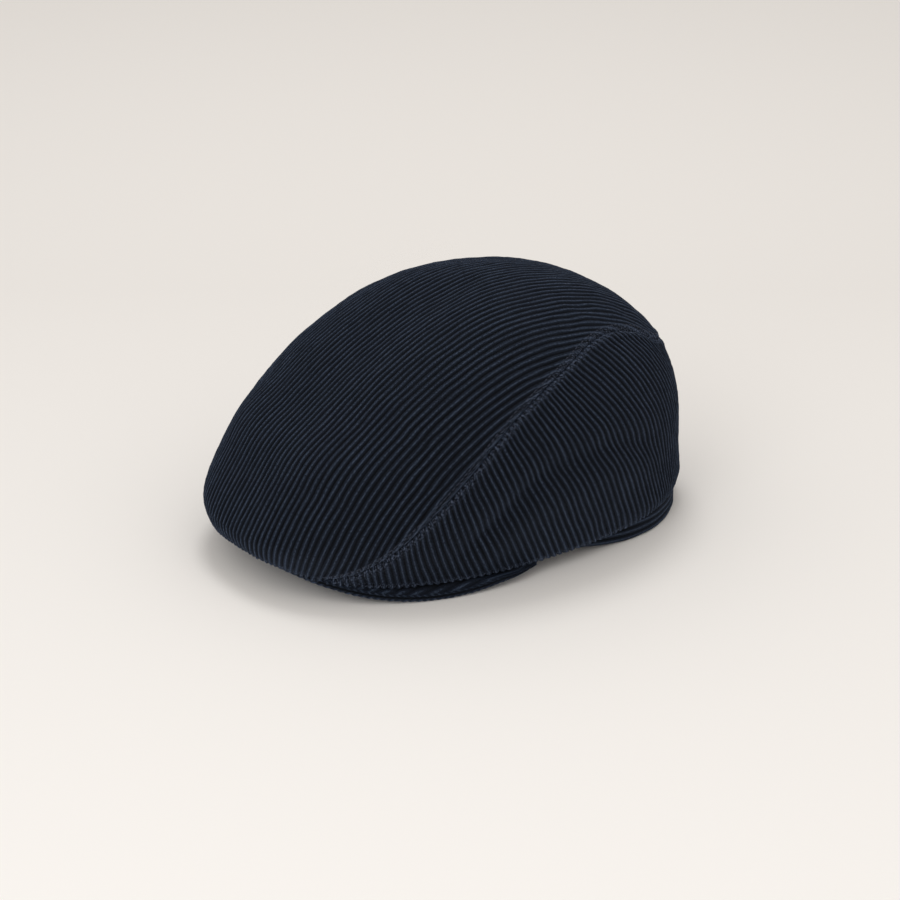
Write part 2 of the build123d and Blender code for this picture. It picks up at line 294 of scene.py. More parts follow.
def base_of_top(crown):
    """The middle line of the top panel, from the slope above the peak to beyond the rear seam."""
    angle = np.linspace(0, math.pi, 800)
    out = np.stack([np.zeros_like(angle), -np.cos(angle), np.sin(angle)], -1)
    arch = crown.cast(np.tile([0.0, 20.0, 32.0], (len(angle), 1)), out)
    return resampled(arch[(arch[:, 2] > 44) | (arch[:, 1] > 0)], 3.0)


def extended(crown, curves, length, step=3.0):
    """Each curve carried on straight ahead from its first point, over the front of the crown."""
    now = np.array([c[0] for c in curves])
    ahead = unit(now - np.array([c[1] for c in curves]))
    added = []
    for _ in range(int(length / step)):
        nxt = crown.snap(now + ahead * step)
        ahead = unit(nxt - now)
        normal = crown.normal(nxt)
        ahead = unit(ahead - normal * (ahead * normal).sum(-1, keepdims=True))
        now = nxt
        added.append(now)
    return np.concatenate([np.stack(added[::-1], 1), np.stack(curves)], 1)


def wale_grid(crown):
    """Wales over the whole crown from one side to the other, at even distances."""
    half = extended(crown, march(crown, base_of_top(crown), HALF_WALES), FRONT_RUN)
    return np.concatenate([half[:0:-1] * MIRROR, half])


def side_columns(crown, count=80):
    """Wales of the left side panel, from the panel seam down to the hem or the centre back."""
    seam, hem = seam_line(crown), hem_line(crown)
    tip = np.argmin(np.linalg.norm(hem - seam[0], axis=1))
    hem = hem[tip:]
    foot = np.concatenate([hem, back_line(crown)])
    seam_arc, foot_arc = arc(seam), arc(foot)
    top_at = np.interp(WALE_STARTS, seam[:, 1], seam_arc)
    low_at = np.concatenate([np.interp(WALE_ENDS_ON_HEM, hem[:, 1], foot_arc[:len(hem)]),
                             np.interp(WALE_ENDS_ON_BACK, foot[len(hem):, 2], foot_arc[len(hem):])])
    ends = side_curve(np.stack([top_at, low_at], -1), 500)
    ends = ends[(ends[:, 0] < seam_arc[-1] - 1) & (ends[:, 0] > 2.0)]
    t = np.linspace(0, 1, count)[:, None]

    middle_of_crown = np.array([0.0, 25.0, 20.0])

    def wales(at):
        top, low = along(seam, seam_arc, at[:, 0]), along(foot, foot_arc, at[:, 1])
        chord = top[:, None] + (low - top)[:, None] * t
        p = crown.cast(np.broadcast_to(middle_of_crown, chord.shape), unit(chord - middle_of_crown))
        return p, top, low

    p, _, _ = wales(ends)
    middle, direction = p[:, count // 2], unit(p[:, count // 2 + 1] - p[:, count // 2 - 1])
    step = np.diff(middle, axis=0)
    across = step - direction[1:] * (step * direction[1:]).sum(-1, keepdims=True)
    width = np.concatenate([[0], np.cumsum(np.linalg.norm(across, axis=1))]) / PITCH
    phase = np.arange(0, width[-1], 1 / PER_WALE)
    at = np.stack([np.interp(phase, width, ends[:, k]) for k in range(2)], -1)
    p, top, low = wales(at)
    p[:, 0], p[:, -1] = top, low
    return list(p), phase


def seam_line(crown):
    """The panel seam on the left of the crown, from the front tip to the centre back."""
    y, z = SEAM.T
    inside = crown.level(np.stack([np.zeros_like(y), y, z], -1)) < 0
    keep = inside & (z > height_on(HEM, y))
    start = np.stack([np.zeros(keep.sum()), y[keep], z[keep]], -1)
    return resampled(crown.cast(start, np.tile([1.0, 0.0, 0.0], (len(start), 1))), 1.5)


def hem_line(crown):
    """The hem, on the left, from the centre front to the centre back."""
    out = []
    for theta in np.linspace(-math.pi / 2, math.pi / 2, 400):
        bearing = np.interp(theta, crown.theta, crown.bearing)
        reach = np.interp(theta, crown.theta, crown.reach)
        way = np.array([math.cos(bearing), math.sin(bearing)])
        z = 10.0
        for _ in range(6):
            spot = AXIS + reach * float(crown.share(theta, reach, np.array(z))) * way
            z = float(height_on(HEM, spot[1]))
        out.append([spot[0], spot[1], z])
    return resampled(np.array(out), 1.5)


def back_line(crown):
    """The centre back seam, from the hem up to the panel seam."""
    z = np.linspace(*BACK_SEAM, 60)
    start = np.stack([0 * z + 0.15, 0 * z + 60, z], -1)
    return crown.cast(start, np.tile([0.0, 1.0, 0.0], (len(z), 1)))


def top_region(p):
    """Above 0 where the top panel lies, with 0 on its seams and its hem."""
    y, z = p[..., 1], p[..., 2]
    return z - np.maximum(height_on(SEAM, y), height_on(HEM, y))


def grid_columns(grid, region):
    """The part of each wale of a grid that lies inside a region."""
    i = np.arange(1, grid.shape[0] - 2, 1 / PER_WALE)
    fine = sample(grid, i[:, None], np.arange(1, grid.shape[1] - 2, 0.25)[None])
    room = region(fine)
    columns, phases = [], []
    for c in range(len(i)):
        inside = np.flatnonzero(room[c] > 0)
        if len(inside) < 6 or inside[0] == 0 or inside[-1] == fine.shape[1] - 1:
            continue
        cut = []
        for k, n in ((inside[0], inside[0] - 1), (inside[-1], inside[-1] + 1)):
            share = room[c, k] / (room[c, k] - room[c, n])
            cut.append(fine[c, k] + (fine[c, n] - fine[c, k]) * share)
        columns.append(np.concatenate([cut[:1], fine[c, inside[0]:inside[-1] + 1], cut[1:]]))
        phases.append(i[c])
    return columns, np.array(phases)


def lattice_noise(p, seed):
    """Smooth noise from -1 to 1 at points of any number of dimensions."""
    p = np.asarray(p, float)
    dims = p.shape[-1]
    table = np.random.default_rng(seed).uniform(-1, 1, (64,) * dims)
    base = np.floor(p).astype(int)
    f = p - base
    f = f * f * (3 - 2 * f)
    out = np.zeros(p.shape[:-1])
    for corner in range(2 ** dims):
        bits = [(corner >> d) & 1 for d in range(dims)]
        weight = np.prod([f[..., d] if bits[d] else 1 - f[..., d] for d in range(dims)], axis=0)
        out += weight * table[tuple((base[..., d] + bits[d]) % 64 for d in range(dims))]
    return out


SEAM_3D, BACK_3D = seam_line(OUTSIDE), back_line(OUTSIDE)

# distances of a panel's rows from its ends, so that its edges can be shaped
NEAR_EDGE = np.array([0, 0.3, 0.65, 1.05, 1.5, 2.1, 2.9, 3.9, 5.2, 7.0])
# the long fold of each side, seen from the side
SIDE_VALLEY = side_curve([(-60, 20), (-41, 31), (-27, 41), (-15, 50), (-2, 57), (19, 60), (43, 62),
                          (63, 57), (90, 46)])


def hem_share(p):
    """1 where a wale ends at the hem, 0 where it ends at a seam."""
    y, z = p[..., 1], p[..., 2]
    return (smooth(0, 3, np.abs(height_on(SEAM, y) - height_on(HEM, y)))
            * (1 - smooth(0, 3, z - height_on(HEM, y))))


def back_corner(x, y):
    """1 at the two back corners of the cap, seen from above."""
    return smooth(15, 52, np.abs(x)) * smooth(42, 84, y)


def oval_ratio(x, y, half_width, half_length, power):
    """1 on an oval round the origin, below 1 inside it."""
    return ((np.abs(x) / half_width) ** power + (np.abs(y) / half_length) ** power) ** (1 / power)


def turn_depth(p):
    """How far the hem turns in: a few millimetres in front, and to the band further back."""
    x, y = p[..., 0], p[..., 1] - OVAL_CENTRE_Y
    ratio = oval_ratio(x, y, OVAL_HALF_WIDTH, OVAL_HALF_LENGTH, OVAL_POWER)
    to_band = np.hypot(x, y) * (1 - 1 / np.maximum(ratio, 1))
    depth = HEM_TURN + (np.clip(to_band - 0.2, HEM_TURN, 12) - HEM_TURN) * smooth(-12, 2, p[..., 1])
    return np.maximum(depth + (BACK_FLARE - BAND_PUSH) * back_corner(x, p[..., 1]), HEM_TURN)


def folds(p):
    """Soft swells and hollows of the whole crown, in millimetres along its normal."""
    x, y, z = p[..., 0], p[..., 1], p[..., 2]
    uneven = 0.55 * lattice_noise(p / 34, 5) + 0.2 * lattice_noise(p / 13, 6)
    on_side = smooth(60, 88, np.abs(x)) * smooth(-62, -36, y) * (1 - smooth(62, 92, y))
    up = z - height_on(SIDE_VALLEY, y)
    valley = on_side * (-1.9 * hump(up, 0, 6.5) + 1.3 * hump(up, 15, 9) + 1.0 * hump(up, -15, 9))
    front_bend = (1 - smooth(-80, -50, y)) * 2.5 * hump(z, 67, 11) * smooth(-66, -38, x)
    flare = BACK_FLARE * back_corner(x, y) * (1 - smooth(10, 38, z))
    pucker = 0.75 * lattice_noise(p / 11, 8) * hump(z - height_on(SEAM, y), 7, 9)
    return (uneven + valley + front_bend + flare + pucker) * smooth(6, 20, z)


class Panel:
    """One panel of corduroy: its mesh columns follow the wales, from one edge to the other."""

    def __init__(self, crown, columns, phase, rows, seams):
        placed, kept, self.start, self.end = [], [], [], []
        for c, line in enumerate(columns):
            s = arc(line)
            share = [float(hem_share(line[k])) for k in (0, -1)]
            radius = [RAW_RADIUS + (HEM_RADIUS - RAW_RADIUS) * v for v in share]
            scale = min(1.0, 0.3 * s[-1] / sum(radius))
            length = s[-1] - scale * sum(radius)
            even = np.arange(rows + 1) * length / rows
            near = np.minimum(NEAR_EDGE, even[:len(NEAR_EDGE)])
            middle = np.linspace(near[-1], length - near[-1], rows + 3 - 2 * len(NEAR_EDGE))
            d = np.concatenate([near, middle[1:-1], length - near[::-1]])
            placed.append(along(line, s, scale * radius[0] + d))
            for store, k in ((self.start, 0), (self.end, -1)):
                turn = CLOTH + (float(turn_depth(line[k])) - CLOTH) * share[k]
                store.append([scale * radius[k], turn, share[k]])
            kept.append(d)
        self.p = crown.snap(np.array(placed))
        self.n = crown.normal(self.p)
        self.d = np.array(kept)
        self.start, self.end = np.array(self.start), np.array(self.end)
        self.phase = np.broadcast_to(phase[:, None], self.d.shape)
        self.seam = np.min([nearest(self.p, line) for line in seams], axis=0)

    def relief(self, seed):
        """Height of the pile on the outer surface, and 0 in a groove to 1 on top of a wale."""
        def noise(across, length, change):
            return lattice_noise(np.stack([across, self.d / length], -1), seed + change)

        phase = self.phase + 0.09 * noise(self.phase * 0.8, 9, 0)
        rib = np.abs(np.sin(math.pi * phase))
        height = WALE_DEPTH * (rib ** RIB_SHAPE - 1) + 0.14 * noise(np.floor(phase) * 1.37, 5, 1) * rib
        height = height + 0.15 * noise(self.phase * 5.3, 1.1, 2)
        height = height + 0.3 * noise(self.phase * 2.1, 1.4, 3) * hump(self.seam, 1.6, 1.5)
        ridge = 0.55 * hump(self.seam, 3.4, 1.7)
        sewn_in = 1.7 * np.clip(1 - self.seam / 1.5, 0, 1) ** 2
        return height * (1 - 0.55 * hump(self.seam, 0, 1.6)) + ridge - sewn_in, rib


def ring_end(q, n, out, radius, turn, share, relief):
    """Points that carry the rows of a panel round its edge and back inside the cloth."""
    radius, turn, share, relief = radius[:, None], turn[:, None], share[:, None], relief[:, None]
    centre = q - n * radius
    rows = []
    for angle in np.radians([22.5, 45, 67.5, 90]):
        rows.append(centre + (radius + relief * share) * (n * math.cos(angle) + out * math.sin(angle)))
    foot = centre + out * radius
    up = 0.45 + (CLOTH - 0.45) * share
    for part in (0.5, 1.0):
        rows.append(foot - n * ((turn - radius) * part) + out * relief * share * (1 - part))
    rows.append(foot - n * (turn - radius) - out * up)
    rows.append(foot - n * (CLOTH + 0.15 * share - radius) - out * (up + 0.3))
    return rows


def panel_ring(panel, seed):
    """All of a panel's points as closed rings, with the cloth and edge attributes of each point."""
    height, rib = panel.relief(seed)
    swell = folds(panel.p)
    q = panel.p + panel.n * (swell + height)[..., None]
    smoothed = panel.p + panel.n * swell[..., None]
    ends = []
    for at, inner, spec in ((0, 2, panel.start), (-1, -3, panel.end)):
        out = smoothed[:, at] - smoothed[:, inner]
        out = unit(out - panel.n[:, at] * (out * panel.n[:, at]).sum(-1, keepdims=True))
        flat = q[:, at] - panel.n[:, at] * height[:, at, None] * spec[:, 2:3]
        ends.append(ring_end(flat, panel.n[:, at], out, *spec.T, height[:, at]))
    count = panel.p.shape[1]
    inner_rows = np.unique(np.linspace(7, count - 8, 12).astype(int))
    under = -CLOTH + swell - 1.0 * np.clip(1 - panel.seam / 1.5, 0, 1) ** 2
    inside = (panel.p + panel.n * under[..., None])[:, inner_rows]
    rings = np.concatenate([q, np.stack(ends[1], 1), inside[:, ::-1], np.stack(ends[0][::-1], 1)], 1)
    # the third value, 0 in a groove to 1 on top of a wale, sets the painted shade in the grooves and the
    # painted highlight on the wales' tops
    outer = np.stack([panel.phase * PITCH, panel.d, rib], -1)
    # the pile goes on round each end, half a millimetre from row to row
    onward = np.array([0, 1, 0]) * np.arange(1, len(ends[0]) + 1)[None, :, None] * 0.5
    cloth = np.concatenate([outer, outer[:, -1:] + onward, outer[:, inner_rows][:, ::-1],
                            outer[:, :1] - onward[:, ::-1]], 1)
    edge = panel.seam
    for spec, gap in ((panel.start, panel.d - panel.d[:, :1]), (panel.end, panel.d[:, -1:] - panel.d)):
        edge = np.where(spec[:, 2:3] > 0.5, np.minimum(edge, np.abs(gap) * 1.1 + 1.0), edge)
    beyond = np.full((len(rings), rings.shape[1] - count), NO_EDGE)
    return rings, cloth, np.concatenate([edge, beyond], 1)


# ---- meshes
def mesh_piece(name, points, faces, material, replaces=(), slot=None, attributes=None):
    """A mesh object in the row frame, from points in millimetres, riding on the cap."""
    mesh = bpy.data.meshes.new(name)
    mesh.from_pydata((np.asarray(points) * MM).tolist(), [], faces)
    for key, values in (attributes or {}).items():
        values = np.asarray(values, np.float32)
        made = mesh.attributes.new(key, "FLOAT_VECTOR" if values.ndim == 2 else "FLOAT", "POINT")
        made.data.foreach_set("vector" if values.ndim == 2 else "value", values.ravel())
    work = bmesh.new()
    work.from_mesh(mesh)
    bmesh.ops.recalc_face_normals(work, faces=work.faces)
    work.to_mesh(mesh)
    work.free()
    mesh.polygons.foreach_set("use_smooth", [True] * len(mesh.polygons))
    mesh.materials.append(material)
    obj = bpy.data.objects.new(name, mesh)
    bpy.context.collection.objects.link(obj)
    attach(obj, "root")
    if replaces:
        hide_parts(*replaces)


def ring_faces(columns, rows, wrap=False):
    """Faces of a closed skin over a row of rings. wrap joins the last ring to the first."""
    c, r = np.meshgrid(np.arange(columns if wrap else columns - 1), np.arange(rows), indexing="ij")
    c2, r2 = (c + 1) % columns, (r + 1) % rows
    quads = np.stack([c * rows + r, c2 * rows + r, c2 * rows + r2, c * rows + r2], -1).reshape(-1, 4).tolist()
    if not wrap:
        for ring, centre in ((0, columns * rows), (columns - 1, columns * rows + 1)):
            for k in range(rows):
                quads.append([ring * rows + k, ring * rows + (k + 1) % rows, centre])
    return quads


def ring_piece(name, rings, material, cloth=None, edge=None, wrap=False, **kwargs):
    """A closed piece from rings of points, one ring per column of the cloth."""
    columns, rows = rings.shape[:2]
    points = rings.reshape(-1, 3)
    attributes = {}
    if not wrap:
        points = np.concatenate([points, rings[0].mean(0)[None], rings[-1].mean(0)[None]])
    for key, values in (("cloth", cloth), ("edge", edge)):
        if values is None:
            continue
        flat = values.reshape(-1, *values.shape[2:])
        if not wrap:
            flat = np.concatenate([flat, values[0][:1], values[-1][:1]])
        attributes[key] = flat
    faces = ring_faces(columns, rows, wrap)
    mesh_piece(name, points, faces, material, attributes=attributes, **kwargs)


def corduroy_piece(name, node, rings, cloth, edge=None):
    """A piece of corduroy in place of one CAD node."""
    if edge is None:
        edge = np.full(rings.shape[:2], NO_EDGE)
    ring_piece(name, rings, CORDUROY, cloth, edge, replaces=[node], slot="corduroy")


# ---- materials
def srgb(r, g, b):
    """A colour given in 8-bit sRGB, as linear values."""
    shares = (v / 255 for v in (r, g, b))
    return tuple(v / 12.92 if v <= 0.04045 else ((v + 0.055) / 1.055) ** 2.4 for v in shares) + (1.0,)


class Shader:
    """A small helper that builds one material's nodes."""

    def __init__(self, name):
        self.material = bpy.data.materials.new(name)
        self.material.use_nodes = True
        self.tree = self.material.node_tree
        self.bsdf = self.tree.nodes["Principled BSDF"]

    def node(self, kind, settings=None, **inputs):
        """A new node. An input is given by its name, or as i and its number."""
        made = self.tree.nodes.new("ShaderNode" + kind)
        for key, value in (settings or {}).items():
            setattr(made, key, value)
        for key, value in inputs.items():
            by_number = key[0] == "i" and key[1:].isdigit()
            self.feed(made.inputs[int(key[1:]) if by_number else key], value)
        return made

    def feed(self, socket, value):
        if isinstance(value, bpy.types.NodeSocket):
            self.tree.links.new(value, socket)
        else:
            socket.default_value = value

    def math(self, operation, a, b=0.0, clamp=False):
        return self.node("Math", {"operation": operation, "use_clamp": clamp}, i0=a, i1=b).outputs[0]

    def mix(self, share, a, b, how="MIX"):
        made = self.node("Mix", {"data_type": "RGBA", "blend_type": how}, i0=share)
        self.feed(made.inputs[6], a)
        self.feed(made.inputs[7], b)
        return made.outputs[2]

    def noise(self, vector, scale, detail=3.0, rough=0.55):
        made = self.node("TexNoise", Vector=vector, Scale=scale, Detail=detail, Roughness=rough)
        return made.outputs["Fac"]

    def spread(self, value, low, high, to_low=0.0, to_high=1.0):
        return self.node("MapRange", i0=value, i1=low, i2=high, i3=to_low, i4=to_high).outputs[0]

    def scaled(self, vector, x, y, z):
        return self.node("VectorMath", {"operation": "MULTIPLY"}, i0=vector, i1=(x, y, z)).outputs[0]

    def finish(self, colour, bump=None, strength=0.5, distance=0.0003, rough=0.8, specular=0.3, sheen=0.0,
               sheen_rough=0.5, sheen_tint=(1, 1, 1, 1)):
        values = {"Base Color": colour, "Roughness": rough, "Specular IOR Level": specular,
                  "Sheen Weight": sheen, "Sheen Roughness": sheen_rough, "Sheen Tint": sheen_tint}
        for key, value in values.items():
            self.feed(self.bsdf.inputs[key], value)
        if bump is not None:
            made = self.node("Bump", Strength=strength, Distance=distance, Height=bump)
            self.tree.links.new(made.outputs[0], self.bsdf.inputs["Normal"])
        return self.material


def corduroy(name):
    """Cotton corduroy: painted shade in the grooves, a painted highlight on the wales' tops, short irregular
    pile.
    """
    s = Shader(name)
    cloth = s.node("Attribute", {"attribute_name": "cloth"}).outputs["Vector"]
    edge = s.node("Attribute", {"attribute_name": "edge"}).outputs["Fac"]
    rib = s.node("SeparateXYZ", i0=cloth).outputs[2]
    tufts = s.noise(s.scaled(cloth, 1.0, 0.55, 0.0), 1.6, 4.0, 0.65)
    fibres = s.noise(s.scaled(cloth, 1.0, 0.35, 0.0), 5.5, 3.0, 0.6)
    wear = s.noise(s.scaled(cloth, 1.0, 0.4, 0.0), 0.09, 2.0)
    clumps = s.noise(s.scaled(cloth, 1.0, 0.55, 0.0), 0.75, 2.0)
    pile = s.mix(s.spread(tufts, 0.3, 0.7), srgb(14, 20, 29), srgb(33, 40, 54))
    pile = s.mix(s.spread(clumps, 0.4, 0.62, 0.35, 0.0), pile, srgb(12, 17, 25))
    pile = s.mix(s.spread(fibres, 0.56, 0.72, 0.0, 0.6), pile, srgb(68, 82, 106))
    # painted shade: by the rib value, the colour goes down to near black in each groove
    colour = s.mix(s.spread(rib, 0.35, 0.97), srgb(8, 11, 16), pile)
    # painted highlight: a lighter line along the top of each wale, broken up by the tufts
    crest = s.math("MULTIPLY", s.spread(rib, 0.88, 1.0), s.spread(tufts, 0.38, 0.6))
    colour = s.mix(s.math("MULTIPLY", crest, 0.65), colour, srgb(76, 89, 110))
    colour = s.mix(s.spread(wear, 0.35, 0.7, 0.0, 0.35), colour, srgb(17, 21, 29))
    near = s.math("MULTIPLY", s.spread(edge, 4.2, 0.9), s.spread(tufts, 0.5, 0.64))
    colour = s.mix(s.math("MULTIPLY", near, 0.7), colour, srgb(104, 115, 138))
    height = s.math("ADD", s.math("MULTIPLY", tufts, 0.6), s.math("MULTIPLY", fibres, 0.4))
    return s.finish(colour, height, strength=1.0, distance=0.0008, rough=0.92, specular=0.1, sheen=0.17,
                    sheen_rough=0.35, sheen_tint=srgb(112, 138, 182))


def woven(name, dark, light, pitch_mm, rough=0.6, specular=0.4, sheen=0.1, slant=True, bump=0.5):
    """A flat woven cloth: twill with slant, plain weave without."""
    s = Shader(name)
    place = s.node("TexCoord").outputs["Object"]
    per_metre = 1000 / pitch_mm
    parts = s.node("SeparateXYZ", i0=s.scaled(place, per_metre, per_metre, per_metre))
    across = s.math("ADD", parts.outputs[0], parts.outputs[1])
    if slant:
        line = s.math("ADD", across, parts.outputs[2])
        thread = s.math("SINE", s.math("MULTIPLY", line, 2 * math.pi))
    else:
        thread = s.math("MULTIPLY", s.math("SINE", s.math("MULTIPLY", across, 2 * math.pi)),
                        s.math("SINE", s.math("MULTIPLY", parts.outputs[2], 2 * math.pi)))
    uneven = s.noise(place, 900.0, 4.0)
    share = s.math("ADD", s.spread(thread, -1.0, 1.0, 0.1, 0.75), s.spread(uneven, 0.3, 0.7, -0.15, 0.25))
    colour = s.mix(share, dark, light)
    return s.finish(colour, s.math("ADD", thread, uneven), strength=bump, distance=0.00015, rough=rough,
                    specular=specular, sheen=sheen)


def satin(name, dark, light):
    """Smooth lining: fine threads, soft gloss and faint creases, with painted shade and painted light across
    the creases.
    """
    s = Shader(name)
    place = s.node("TexCoord").outputs["Object"]
    threads = s.noise(s.scaled(place, 1.0, 0.12, 1.0), 4200.0, 2.0)
    crease_and_shade = s.noise(place, 42.0, 4.0, 0.6)
    # painted shade and painted light: the colour goes from dark to light with the crease noise that also
    # makes the bump
    colour = s.mix(s.spread(crease_and_shade, 0.35, 0.7), dark, light)
    colour = s.mix(s.spread(threads, 0.3, 0.7, 0.0, 0.3), colour, light)
    rough = s.spread(threads, 0.3, 0.7, 0.34, 0.48)
    return s.finish(colour, s.math("ADD", s.math("MULTIPLY", crease_and_shade, 3.0), threads), strength=0.35,
                    distance=0.0004, rough=rough, specular=0.5, sheen=0.15)


def plain(name, dark, light, scale, rough, bump=0.3):
    """An even material with a fine grain."""
    s = Shader(name)
    place = s.node("TexCoord").outputs["Object"]
    grain = s.noise(place, scale, 5.0, 0.6)
    colour = s.mix(s.spread(grain, 0.3, 0.7), dark, light)
    return s.finish(colour, grain, strength=bump, distance=0.0002, rough=rough)


CORDUROY = corduroy("navy_corduroy")
LINING = satin("navy_lining", srgb(22, 27, 40), srgb(40, 47, 66))
SWEATBAND = woven("sweatband_twill", srgb(18, 21, 30), srgb(44, 50, 66), 0.9)
FUSING = woven("interlining_cloth", srgb(24, 26, 32), srgb(46, 49, 57), 0.7, slant=False, sheen=0.0)
TAPE = woven("cotton_tape", srgb(20, 24, 34), srgb(50, 56, 72), 0.6, slant=False)
ELASTIC = woven("ribbed_elastic", srgb(16, 18, 26), srgb(52, 56, 68), 1.1, slant=False, rough=0.55)
BOARD = plain("peak_board_plastic", srgb(188, 186, 178), srgb(206, 204, 197), 300.0, 0.5)
LABEL = plain("label_satin", srgb(176, 169, 154), srgb(208, 202, 188), 1500.0, 0.45)
THREAD = plain("navy_thread", srgb(22, 27, 38), srgb(52, 60, 80), 5200.0, 0.6, bump=0.8)

# ---- crown panels
SIDES = (("left", np.ones(3)), ("right", MIRROR))

top = Panel(OUTSIDE, *grid_columns(wale_grid(OUTSIDE), top_region), 100, [SEAM_3D, SEAM_3D * MIRROR])
side = Panel(OUTSIDE, *side_columns(OUTSIDE), 58, [SEAM_3D, BACK_3D])
corduroy_piece("top_panel_cloth", "top_panel", *panel_ring(top, 21))
for (name, flip), seed in zip(SIDES, (31, 41)):
    rings, cloth, edge = panel_ring(side, seed)
    corduroy_piece(name + "_side_panel_cloth", name + "_side_panel", rings * flip, cloth, edge)


def interlining(node, panel, flip=1):
    """A thin inner layer that follows a panel and its swells, with a column for each wale."""
    rows = np.unique(np.linspace(3, panel.p.shape[1] - 4, 34).astype(int))
    p, n = panel.p[::PER_WALE, rows], panel.n[::PER_WALE, rows]
    swell = folds(p)
    outer = p + n * (swell - INTERLINING_DEPTH)[..., None]
    inner = p + n * (swell - INTERLINING_DEPTH - INTERLINING)[..., None]
    rings = np.concatenate([outer, inner[:, ::-1]], 1) * flip
    ring_piece(node + "_cloth", rings, FUSING, replaces=[node], slot="interlining")


interlining("top_interlining", top)
for name, flip in SIDES:
    interlining(name + "_side_interlining", side, flip)


# ---- peak
def peak_under(x, y):
    """Height of the peak's underside."""
    return PEAK_FRONT_HEIGHT + PEAK_SLOPE * (y - PEAK_ROOT_Y + PEAK_REACH) - PEAK_ARCH * x * x


def peak_columns(inset):
    """Front to back lines of the peak: x, y of the rim and of the inner edge, and the way out of the rim."""
    psi = np.linspace(math.pi, 2 * math.pi, 6000)[1:-1]
    half, reach = PEAK_HALF_WIDTH - inset, PEAK_REACH - inset
    x = half * np.sign(np.cos(psi)) * np.abs(np.cos(psi)) ** (2 / PEAK_POWER)
    y = PEAK_ROOT_Y - reach * np.abs(np.sin(psi)) ** (2 / PEAK_POWER)
    cost = np.abs(np.diff(x)) / (PITCH / PER_WALE) + np.hypot(np.diff(x), np.diff(y)) / 2.5
    cost = np.concatenate([[0], np.cumsum(cost)])
    at = np.linspace(0, cost[-1], int(cost[-1]))
    x, y = np.interp(at, cost, x), np.interp(at, cost, y)
    out = unit(np.stack([np.sign(x) * np.abs(x / half) ** (PEAK_POWER - 1) / half,
                         -np.abs((y - PEAK_ROOT_Y) / reach) ** (PEAK_POWER - 1) / reach], -1))
    share = np.clip(1 - (np.abs(x) / (OVAL_HALF_WIDTH - 1.8)) ** OVAL_POWER, 0, 1)
    inner = np.minimum(PEAK_ROOT_Y, OVAL_CENTRE_Y - (OVAL_HALF_LENGTH - 1.8) * share ** (1 / OVAL_POWER))
    return x, y, np.maximum(inner, y + 0.5), out


def tucked(p):
    """The horns of the peak thin out and draw in under the crown's hem."""
    q = p.copy()
    under = peak_under(p[..., 0], p[..., 1])
    thin = 1 - smooth(-45, -35, p[..., 1]) * (1 - np.clip((HORN_TOP - under) / PEAK_THICKNESS, 0.15, 1))
    q[..., 0] *= 1 - 0.02 * smooth(-18, -6, p[..., 1])
    q[..., 2] = under + (p[..., 2] - under) * thin - PEAK_SIDE_DROP * smooth(34, 84, np.abs(p[..., 0]))
    return q


def peak_relief(x, length, seed):
    """Height of the pile on the peak, and 0 in a groove to 1 on top of a wale."""
    phase = x / PITCH + 0.06 * lattice_noise(np.stack([x / PITCH * 0.8, length / 9], -1), seed)
    rib = np.abs(np.sin(math.pi * phase))
    fine = lattice_noise(np.stack([np.floor(phase) * 1.37, length / 4], -1), seed + 1)
    return WALE_DEPTH * (rib ** RIB_SHAPE - 1) + 0.14 * fine * rib, rib


def inland_of(x, y):
    """Roughly how far a point lies inside the rim of the peak."""
    ratio = oval_ratio(x, y - PEAK_ROOT_Y, PEAK_HALF_WIDTH, PEAK_REACH, PEAK_POWER)
    return np.hypot(x, y - PEAK_ROOT_Y) * (1 / np.maximum(ratio, 0.01) - 1)


